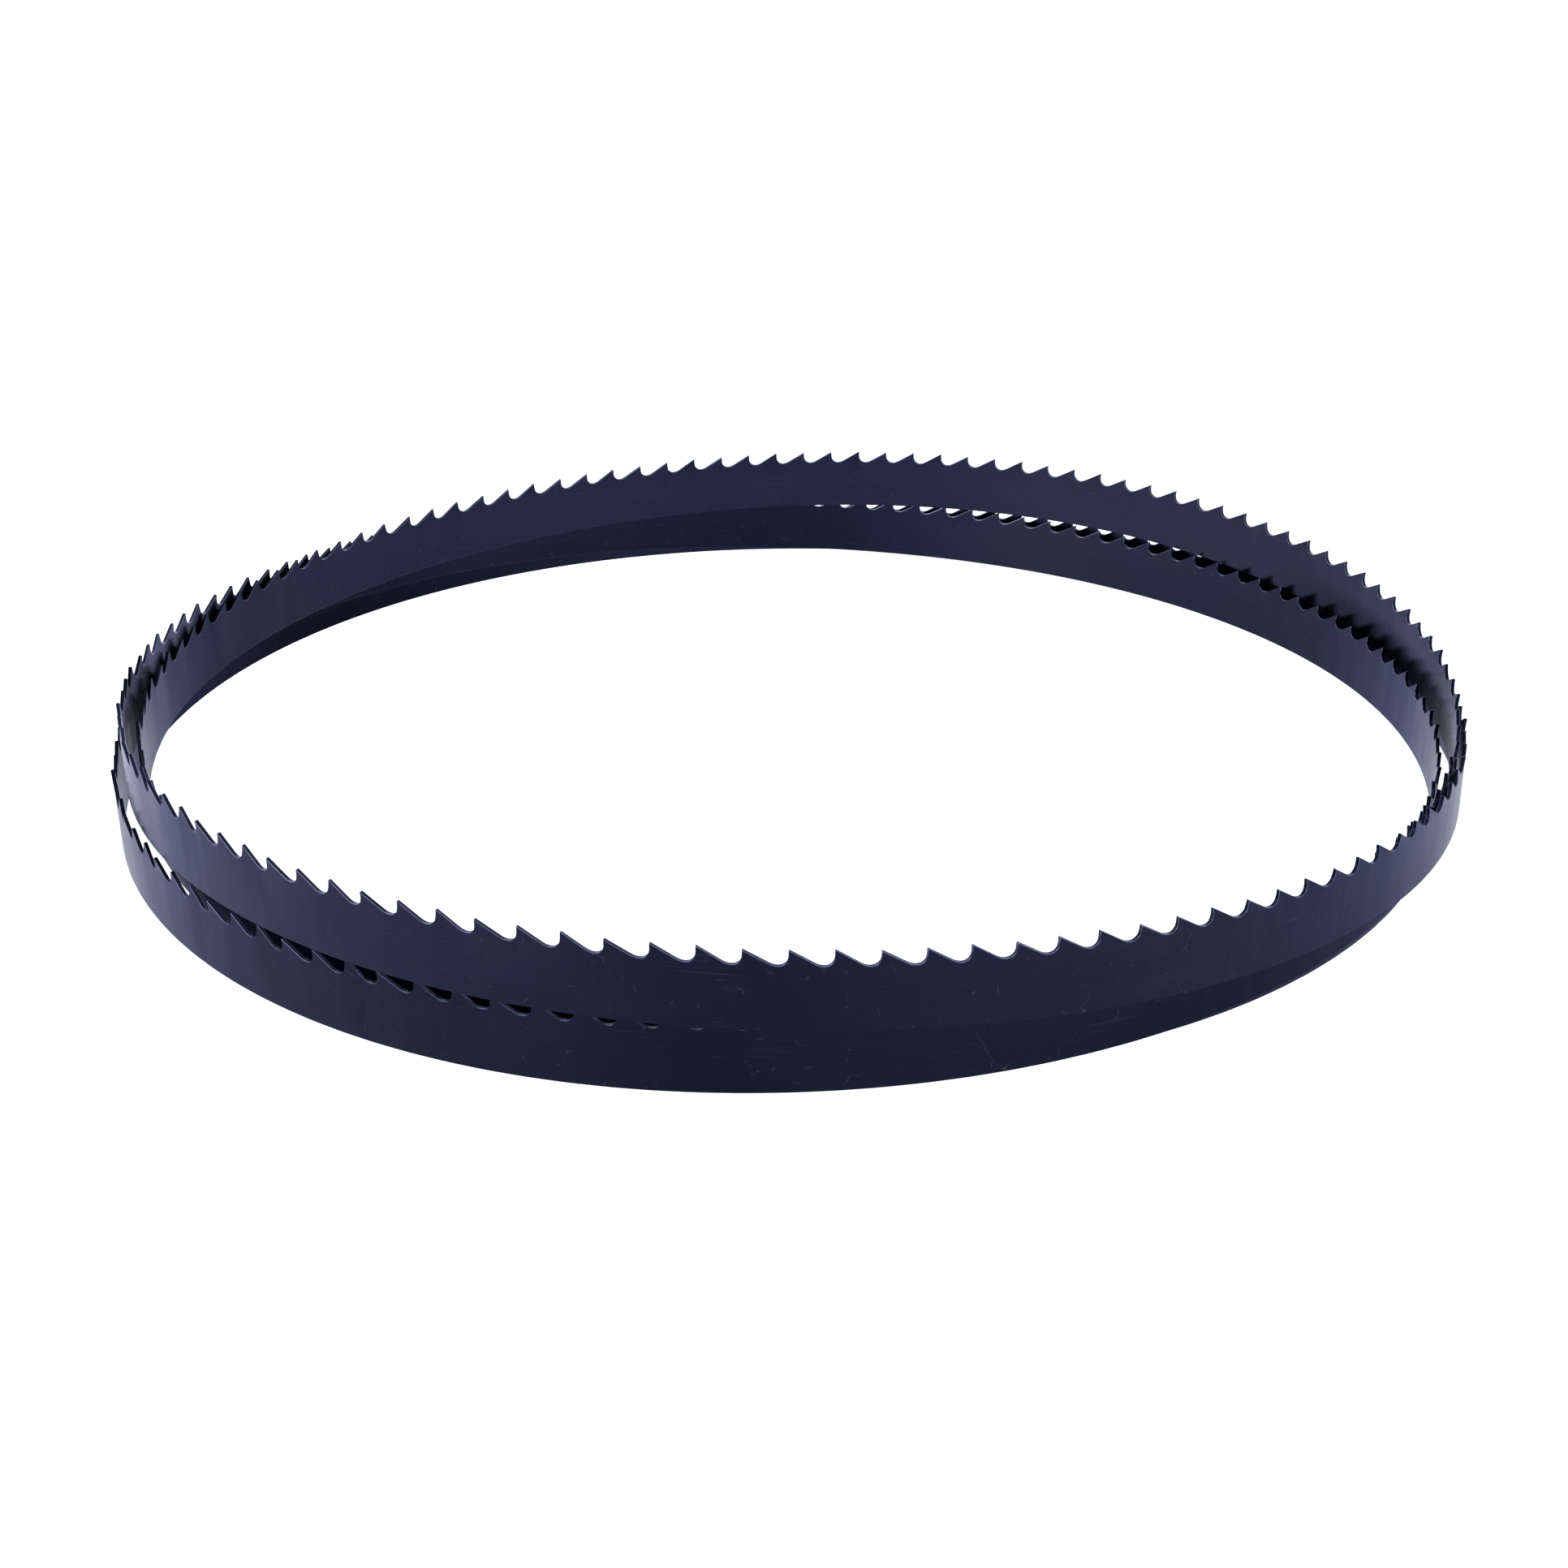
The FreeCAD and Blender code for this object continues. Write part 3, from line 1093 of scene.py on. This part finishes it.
@dataclass
class Studio:
    """The floor, the light and the camera."""

    floor_side: float = 12.0
    floor_colour: Colour = (0.8, 0.8, 0.8, 1)
    floor_glow: float = 0.87
    sky: float = 0.02
    glow_focus: float = 6.0
    glows: tuple[tuple[Point, float], ...] = (
        ((0.294, 0.905, 0.309), 2.43),
        ((-0.294, 0.905, 0.309), 2.78),
        ((-0.769, -0.559, 0.309), 3.27),
        ((0.769, -0.559, 0.309), 0.4),
    )
    camera_place: Point = (-0.000064, -0.388332, 0.172961)
    camera_dip: float = 24.715
    camera_roll: float = -0.8045
    camera_shift: tuple[float, float] = (-0.00126, -0.00006)
    camera_lens: float = 51.558

    def lay_floor(self) -> None:
        """Lays the pale floor, which looks white, also in reflections, and keeps the shadow."""
        bpy.ops.object.select_all(action="DESELECT")
        bpy.ops.mesh.primitive_plane_add(size=self.floor_side, location=(0, 0, 0))
        floor = bpy.context.view_layer.objects.active
        floor.name = "floor"
        material = bpy.data.materials.new("pale_floor")
        material.use_nodes = True
        wiring = Wiring(material.node_tree)
        output = wiring.add("ShaderNodeOutputMaterial")
        matt = wiring.add("ShaderNodeBsdfDiffuse")
        glow = wiring.add("ShaderNodeEmission")
        both = wiring.add("ShaderNodeAddShader")
        wiring.feed(matt.inputs["Color"], self.floor_colour)
        strength = wiring.math("MULTIPLY", wiring.seen(), self.floor_glow)
        wiring.feed(glow.inputs["Strength"], strength)
        wiring.feed(both.inputs[0], matt.outputs[0])
        wiring.feed(both.inputs[1], glow.outputs[0])
        wiring.feed(output.inputs["Surface"], both.outputs[0])
        floor.data.materials.append(material)

    def light(self) -> None:
        """Lights the scene softly, most from behind and from the front left."""
        world = bpy.data.worlds.new("studio")
        bpy.context.scene.world = world
        world.use_nodes = True
        wiring = Wiring(world.node_tree)
        output = wiring.add("ShaderNodeOutputWorld")
        sky = wiring.add("ShaderNodeBackground")
        place = wiring.add("ShaderNodeTexCoord").outputs["Generated"]
        strength: object = self.sky
        for direction, power in self.glows:
            facing = wiring.add("ShaderNodeVectorMath", operation="DOT_PRODUCT")
            wiring.feed(facing.inputs[0], place)
            facing.inputs[1].default_value = Vector(direction).normalized()
            spot = wiring.math("MAXIMUM", facing.outputs["Value"], 0.0)
            spot = wiring.math("POWER", spot, self.glow_focus)
            strength = wiring.math("MULTIPLY_ADD", spot, power, strength)
        strength = wiring.math("MAXIMUM", strength, wiring.seen())
        wiring.feed(sky.inputs["Color"], (1, 1, 1, 1))
        wiring.feed(sky.inputs["Strength"], strength)
        wiring.feed(output.inputs["Surface"], sky.outputs[0])

    def aim_camera(self) -> None:
        """Sets the camera up where the photograph was taken from."""
        data = bpy.data.cameras.new("camera")
        data.lens = self.camera_lens
        data.sensor_width = 36
        data.shift_x, data.shift_y = self.camera_shift
        data.clip_start = 0.01
        data.clip_end = 50
        camera = bpy.data.objects.new("camera", data)
        bpy.context.scene.collection.objects.link(camera)
        dip = Matrix.Rotation(radians(90 - self.camera_dip), 4, "X")
        roll = Matrix.Rotation(radians(self.camera_roll), 4, "Z")
        camera.matrix_world = Matrix.Translation(self.camera_place) @ dip @ roll
        bpy.context.scene.camera = camera

    def build(self) -> None:
        """Builds the whole studio."""
        self.lay_floor()
        self.light()
        self.aim_camera()
        bpy.context.scene.view_settings.view_transform = "Standard"


def main() -> None:
    """Builds the band and the studio."""
    logging.basicConfig(level=logging.INFO, format="%(message)s")
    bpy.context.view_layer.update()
    blade = SawBand()
    band = blade.build()
    blade.dress(band)
    Studio().build()
    bpy.context.view_layer.update()


if __name__ == "__main__":
    main()
